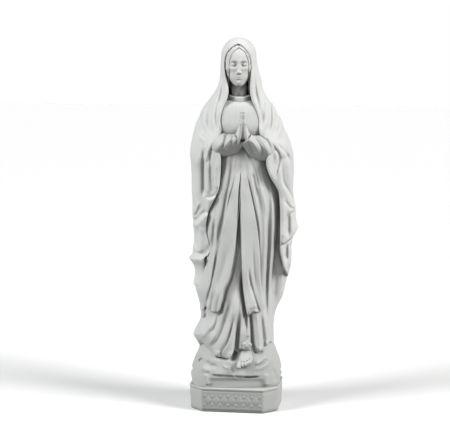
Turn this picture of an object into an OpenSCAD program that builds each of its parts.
// Standing madonna in matte white bisque porcelain, on a rock and an octagonal plinth.
// It is a group of slip-cast and pressed pieces that are joined with slip.
// Millimetres, +Z up, front towards -Y. The origin is on the surface that the statue stands on,
// under the middle of its outline. The plinth stands a little off that middle, because the mantle
// reaches further out on the left.
// Right and left are the figure's own, so its right side is towards -X.

/* [Plinth] */
// Width of the plinth across its top edge
plinth_w = 115; // [112:1:130]
// Depth of the plinth, front to back, across its top edge
plinth_d = 90; // [88:1:110]
// Height of the plinth
plinth_h = 30; // [24:1:40]
// How far each corner is cut back along the front
plinth_corner = 18; // [12:1:22]
// How far each wall leans out between the bottom and the top
plinth_flare = 2.5; // [0.5:0.5:4]
// Width of the recessed tablet on the front
tablet_w = 74; // [50:1:76]
// Height of the recessed tablet on the front
tablet_h = 21; // [12:1:22]

// Place of the plinth's middle, left or right of the middle of the statue's outline
plinth_x = -8; // [-10:0.1:-6]
// Place of the plinth's middle, behind the middle of the statue's outline
plinth_y = 2.6; // [0:0.1:4]

/* [Casting] */
// Wall thickness of the hollow castings
wall = 5; // [4:0.5:6]
// Thickness of the slip joint left between neighbouring castings
joint_gap = 0.3; // [0.2:0.1:0.4]
// Thickness of the hanging sash
sash_t = 3; // [2:0.5:4]

/* [Figure] */
// Height of the rock and the figure above the plinth
figure_h = 440; // [396:2:462]
// Turn of the figure on its plinth
figure_turn = 8; // [-10:1:10]
// How far the figure stands off the plinth's middle, with left negative
figure_x = -2; // [-4:0.5:0]

/* [Hidden] */

// The figure is drawn at this height and scaled to figure_h.
drawn_h = 440;
// Points on a closed ring, and on each side of an open one.
ring_n = 36;
shell_n = 26;
// Roundness of the rings: 1 is an ellipse, smaller is squarer.
ring_power = 0.9;

// The tablet leans with the front wall of the plinth.
lean = atan(plinth_flare / plinth_h);
recess_d = 1.6;
tablet_t = 1;
tablet_clear = 0.4;
tablet_relief = 0.9;

// Vertical line in the figure's frame at which the two praying hands meet.
hands_x = 8.7;
// How far the waist under the sash band is drawn in from the gown.
waist_in = 3;

// Each row is [height, left, right, front, back]: how far the ring reaches each way from the axis.
rock_rows = [[0, 57, 59, 41, 40], [9, 57, 59, 42, 41], [20, 53, 57, 42, 40], [27, 50, 55, 41, 38],
             [28.5, 50, 54, 26, 38], [38, 49, 53, 25, 38], [46, 48, 52, 24, 38]];
skirt_rows = [[46.5, 42, 45, 41, 31], [60, 41, 45, 39, 31], [80, 39, 45, 38, 31], [100, 37, 46, 37, 31],
              [130, 37, 46, 36, 31], [160, 36, 46, 35, 30], [190, 35, 45, 34, 29], [220, 32, 44, 34, 28],
              [245, 29, 42, 34, 27], [268, 25, 39, 33, 26], [290, 20, 36, 31, 25]];
bodice_rows = [[299.3, 20, 35, 28, 25], [312, 21, 36, 27, 25], [328, 23, 38, 26, 26], [342, 25, 39, 25, 27],
               [352, 22, 36, 22, 26], [359, 16, 29, 18, 23], [363, 9, 20, 13, 18]];
head_rows = [[363.5, 5, 15, 11, 9], [374, 4, 14, 10, 8], [381, 5, 15, 14, 9], [385, 8, 18, 20, 12],
             [391, 10, 20, 22, 16], [400, 11, 21, 23, 19], [410, 11, 21, 22, 20], [418, 10, 20, 20, 19],
             [424, 7, 17, 16, 16], [428, 3, 13, 10, 10]];
crown_rows = [[432, 13, 23, 19, 24], [435, 10, 18, 13, 19], [438, 5, 13, 8, 12], [440, 0, 8, 2, 5]];
right_fall_rows = [[126, 51, -38, 21, -1], [142, 50, -38, 23, -1], [160, 51, -38, 24, -1],
                   [163, 54, -36, 26, -1], [178, 55, -35, 27, 0], [200, 54, -36, 26, 0],
                   [225, 54, -35, 26, 0], [245, 54, -32, 27, 1], [265, 55, -29, 30, 1],
                   [286, 56, -30, 32, 2], [296, 56, -38, 33, 2], [305, 56, -38, 30, 2], [314, 55, -39, 24, 2]];
left_fall_rows = [[117, -60, 64, 14, -2], [132, -60, 67, 18, -2], [150, -59, 70, 20, -1],
                  [170, -57, 71, 22, 0], [200, -56, 75, 24, 0], [224, -56, 77, 25, 0],
                  [245, -54, 74, 27, 1], [262, -50, 73, 30, 1], [280, -48, 73, 32, 2],
                  [290, -55, 73, 33, 2], [300, -55, 73, 30, 2], [314, -56, 68, 22, 2]];
sash_right_rows = [[99, 36, -22], [104, 35, -20], [116, 32, -17], [134, 26, -12], [153, 22, -5],
                   [180, 18, -1], [210, 13, 2], [240, 8, 4], [262, 3, 5], [281, 1, 6]];
sash_left_rows = [[97, -15, 35], [106, -13, 36], [116, -12, 35], [130, -10, 34], [155, -8, 32],
                  [180, -8, 29], [210, -8, 25], [240, -8, 20], [262, -8, 16], [281, -8, 14]];

// Rows of the open mantle end in the angles, from the front, at which its right and left edges stand.
mantle_rows = [[46.5, 49, 52, 28, 38, 100, 100], [64, 50, 52, 28, 38, 98, 98], [97, 45, 54, 28, 38, 96, 96],
               [124, 49, 58, 28, 39, 92, 92], [160, 50, 62, 28, 39, 84, 84], [200, 51, 68, 28, 40, 80, 80],
               [250, 52, 70, 28, 41, 80, 80], [290, 54, 71, 28, 41, 78, 78], [312, 56, 70, 28, 40, 76, 76],
               [315, 55, 69, 28, 40, 27, 26], [330, 50, 62, 28, 39, 26, 25], [341, 46, 57, 27, 37, 26, 26],
               [352, 40, 51, 26, 36, 27, 29], [362, 32, 43, 25, 34, 28, 33], [370, 26, 38, 24, 32, 30, 36],
               [382, 22, 34, 23, 31, 36, 38], [395, 20, 32, 23, 32, 44, 38], [408, 19, 31, 22, 32, 46, 38],
               [420, 17, 27, 21, 29, 38, 32], [428, 15, 25, 20, 27, 22, 18], [433, 12, 22, 18, 23, 8, 8]];

function power_of(v, e) = sign(v) * pow(abs(v), e);

// Point of a row's ring at angle a, counted from the front towards +X, moved in by an inset.
function ring_point(row, a, inset) =
    let (middle_x = (row[2] - row[1]) / 2, half_x = (row[2] + row[1]) / 2 - inset,
         middle_y = (row[4] - row[3]) / 2, half_y = (row[4] + row[3]) / 2 - inset)
    [middle_x + half_x * power_of(sin(a), ring_power),
     middle_y - half_y * power_of(cos(a), ring_power), row[0]];

function closed_ring(row, inset = 0) = [for (i = [0:ring_n - 1]) ring_point(row, i * 360 / ring_n, inset)];

// The section of the mantle at one height: out along the cloth's outside and back along its inside.
function open_ring(row) =
    let (first = row[6], last = 360 - row[5])
    concat([for (i = [0:shell_n]) ring_point(row, first + (last - first) * i / shell_n, 0)],
           [for (i = [shell_n:-1:0]) ring_point(row, first + (last - first) * i / shell_n, wall)]);

// Value of a column of rows at any height.
function at(rows, column, z) = lookup(z, [for (row = rows) [row[0], row[column]]]);

// Depth of the front of the skirt at a place across it.
function skirt_front(x, z) =
    let (row = [z, for (column = [1:4]) at(skirt_rows, column, z)],
         middle_x = (row[2] - row[1]) / 2, half_x = (row[2] + row[1]) / 2,
         middle_y = (row[4] - row[3]) / 2, half_y = (row[4] + row[3]) / 2,
         s = min(0.98, abs(x - middle_x) / half_x))
    middle_y - half_y * pow(cos(asin(pow(s, 1 / ring_power))), ring_power);

// A section of the sash at one height: its back lies on the skirt and its front stands sash_t out.
function sash_ring(row) =
    let (n = 6, left = -row[1], right = row[2], back = joint_gap, front = joint_gap + sash_t)
    concat([for (i = [0:n]) let (x = left + (right - left) * i / n) [x, skirt_front(x, row[0]) - front, row[0]]],
           [for (i = [n:-1:0]) let (x = left + (right - left) * i / n) [x, skirt_front(x, row[0]) - back, row[0]]]);

// Skins a stack of equal rings, which run anticlockwise seen from above, and closes both ends.
module loft(rings) {
    n = len(rings[0]);
    last = len(rings) - 1;
    sides = [for (k = [0:last - 1], i = [0:n - 1])
             let (a = k * n + i, b = k * n + (i + 1) % n)
             each [[a, a + n, b], [b, a + n, b + n]]];
    bottom = [for (i = [0:n - 1]) i];
    top = [for (i = [n - 1:-1:0]) last * n + i];
    polyhedron(points = [for (ring = rings) each ring], faces = concat([bottom, top], sides));
}

// A hollow casting, open at the bottom: down its inside and up its outside.
module casting(rows) {
    last = len(rows) - 1;
    inner = [for (k = [last - 1:-1:0]) closed_ring(rows[k], wall)];
    roof = closed_ring([rows[last][0] - wall, for (c = [1:4]) rows[last][c]], wall);
    loft(concat([roof], inner, [for (row = rows) closed_ring(row)]));
}

// A solid piece through a stack of closed rings.
module solid(rows) {
    loft([for (row = rows) closed_ring(row)]);
}

// Stands the drawn figure on the plinth.
module on_plinth() {
    translate([plinth_x, plinth_y, plinth_h]) rotate(figure_turn)
        translate([figure_x, 0, 0]) scale(figure_h / drawn_h) children();
}

// One pair of opposite plinth walls, both leaning out, with the planes turned to the angle a.
module wall_pair(a, top_w, inset, low, high) {
    half_low = top_w / 2 - plinth_flare * (1 - low / plinth_h) - inset;
    half_high = top_w / 2 - plinth_flare * (1 - high / plinth_h) - inset;
    rotate([90, 0, a])
        linear_extrude(plinth_w * 2, center = true)
            polygon([[-half_low, low], [half_low, low], [half_high, high], [-half_high, high]]);
}

// The plinth's outline, or its hollow when it is inset and low runs below the bottom.
module plinth_block(inset, low, high) {
    corner_w = (plinth_w + plinth_d - 2 * plinth_corner) / sqrt(2);
    intersection() {
        wall_pair(0, plinth_w, inset, low, high);
        wall_pair(90, plinth_d, inset, low, high);
        wall_pair(45, corner_w, inset, low, high);
        wall_pair(-45, corner_w, inset, low, high);
    }
}

// Moves its children onto the middle of the plinth's leaning front wall, with +Z out of the wall.
module on_front() {
    translate([plinth_x, plinth_y - (plinth_d - plinth_flare) / 2, plinth_h / 2])
        rotate([90 + lean, 0, 0]) children();
}

module plinth() {
    color("whitesmoke")
        difference() {
            translate([plinth_x, plinth_y, 0]) plinth_block(0, 0, plinth_h);
            translate([plinth_x, plinth_y, 0]) plinth_block(wall, -1, plinth_h - wall);
            on_front() translate([-tablet_w / 2, -tablet_h / 2, -recess_d]) cube([tablet_w, tablet_h, recess_d * 2]);
        }
}

module front_tablet() {
    lozenges = 7;
    pitch = tablet_w / (lozenges + 1);
    w = tablet_w - 2 * tablet_clear;
    h = tablet_h - 2 * tablet_clear;
    color("gainsboro")
        on_front() translate([0, 0, -recess_d]) {
            translate([-w / 2, -h / 2, 0]) cube([w, h, tablet_t]);
            for (i = [0:lozenges - 1])
                translate([(i - (lozenges - 1) / 2) * pitch, 0, 0])
                    cylinder(h = tablet_relief + tablet_t / 2, r = pitch * 0.3, $fn = 4);
            for (i = [0:lozenges - 2])
                translate([(i - (lozenges - 2) / 2) * pitch, 0, 0])
                    cylinder(h = tablet_relief + tablet_t / 2, r = 1.2, $fn = 24);
        }
}

module rock_mound() {
    color("whitesmoke") on_plinth() translate([0, 0, joint_gap]) casting(rock_rows);
}

module gown_skirt() {
    color("white") on_plinth() casting(skirt_rows);
}

// The bodice starts in a narrow waist, which the sash band is wound round.
module gown_bodice() {
    waist = [for (z = [290.3, 299]) [z, for (c = [1:4]) at(skirt_rows, c, 290) - waist_in]];
    color("white") on_plinth() casting(concat(waist, bodice_rows));
}

module sash_band() {
    outside = [for (c = [1:4]) at(skirt_rows, c, 290)];
    color("gainsboro") on_plinth()
        difference() {
            solid([for (z = [290.4, 298.8]) [z, each outside]]);
            solid([for (z = [289, 300]) [z, for (v = outside) v - waist_in + joint_gap]]);
        }
}

module sash_knot() {
    color("gainsboro") on_plinth()
        hull() {
            translate([6, -37.5, 287]) sphere(r = 2.8, $fn = 24);
            translate([12, -37.5, 288]) sphere(r = 2.8, $fn = 24);
        }
}

module sash_right_tail() {
    color("gainsboro") on_plinth() loft([for (row = sash_right_rows) sash_ring(row)]);
}

module sash_left_tail() {
    color("gainsboro") on_plinth() loft([for (row = sash_left_rows) sash_ring(row)]);
}

// Two rings make the neckband of the gown: it stands round the base of the neck.
module collar() {
    color("white") on_plinth()
        difference() {
            solid([[363.4, 9, 20, 14.5, 14], [369, 7, 17, 14, 12]]);
            solid([[362, 5.6, 15.6, 11.8, 9.8], [371, 5, 15, 11, 9]]);
        }
}

module head() {
    color("white") on_plinth() solid(head_rows);
}

// A cap of hair: its rim runs from the brow round to the nape, so each of its rings is tilted.
function hair_point(t, a, out) =
    let (rim = 404 + 14 * cos(a), top = 428.5 + out, z = rim + (top - rim) * t,
         waist = sqrt(max(0.02, 1 - pow((z - 402) / (top - 402 + 0.6), 2))))
    [5 + (11.2 + out) * waist * sin(a), -1.5 - (22 + out) * waist * cos(a), z];

module hair() {
    steps = 5;
    skin = joint_gap + 1;
    thick = 3.2;
    color("white") on_plinth()
        loft(concat([for (k = [steps:-1:0]) [for (i = [0:ring_n - 1]) hair_point(k / steps, i * 360 / ring_n, skin)]],
                    [for (k = [0:steps]) [for (i = [0:ring_n - 1]) hair_point(k / steps, i * 360 / ring_n, thick)]]));
}

// The open cloth and the closed crown are merged and brought to the figure's height in one step.
module mantle() {
    cloth_h = (drawn_h - mantle_rows[0][0]) * figure_h / drawn_h;
    hem_z = mantle_rows[0][0] * (figure_h / drawn_h - 1);
    color("white") translate([plinth_x, plinth_y, plinth_h + hem_z]) rotate(figure_turn)
        translate([figure_x, 0, 0]) resize([0, 0, cloth_h], auto = true) {
            loft([for (row = mantle_rows) open_ring(row)]);
            solid(crown_rows);
        }
}

module mantle_right_fall() {
    color("white") on_plinth() solid(right_fall_rows);
}

module mantle_left_fall() {
    color("white") on_plinth() solid(left_fall_rows);
}

module sleeve(elbow, elbow_r, cuff, cuff_r) {
    hull() {
        translate(elbow) sphere(r = elbow_r, $fn = 24);
        translate(cuff) sphere(r = cuff_r, $fn = 24);
    }
}

module right_sleeve() {
    color("white") on_plinth() sleeve([-26, -30, 304], 9, [-3, -39, 309], 8);
}

module left_sleeve() {
    color("white") on_plinth() sleeve([43, -31, 298], 9, [19.5, -39, 306], 8);
}

// One praying hand, drawn against the plane x = 0 with its back towards -X.
module hand() {
    hull() {
        translate([-6.6, -43.5, 322.4]) sphere(r = 4.6, $fn = 24);
        translate([-4.2, -46, 335]) sphere(r = 3.8, $fn = 24);
    }
    hull() {
        translate([-4.2, -46, 335]) sphere(r = 3.8, $fn = 24);
        translate([-2.4, -49, 349]) sphere(r = 2, $fn = 24);
    }
}

module right_hand() {
    color("white") on_plinth() translate([hands_x, 0, 0]) hand();
}

module left_hand() {
    color("white") on_plinth() translate([hands_x, 0, 0]) mirror([1, 0, 0]) hand();
}

module left_foot() {
    color("white") on_plinth()
        hull() {
            translate([14, -33, 37.5]) sphere(r = 6.5, $fn = 24);
            translate([7, -36.5, 33]) sphere(r = 4, $fn = 24);
        }
}

// A small rose on the hem: five petals round a bud.
module rose() {
    bud_r = 3.6;
    petal_r = 2.6;
    petals = 5;
    place = [14, 58];
    depth = skirt_front(place[0], place[1]) - bud_r - joint_gap;
    color("white") on_plinth() translate([place[0], depth, place[1]]) rotate([90, 0, 0]) {
        sphere(r = bud_r, $fn = 24);
        for (i = [0:petals - 1])
            rotate(i * 360 / petals) translate([bud_r, 0, 0]) sphere(r = petal_r, $fn = 24);
    }
}

plinth();
front_tablet();
rock_mound();
gown_skirt();
gown_bodice();
collar();
head();
hair();
mantle();
mantle_right_fall();
mantle_left_fall();
right_sleeve();
left_sleeve();
right_hand();
left_hand();
sash_band();
sash_knot();
sash_right_tail();
sash_left_tail();
left_foot();
rose();
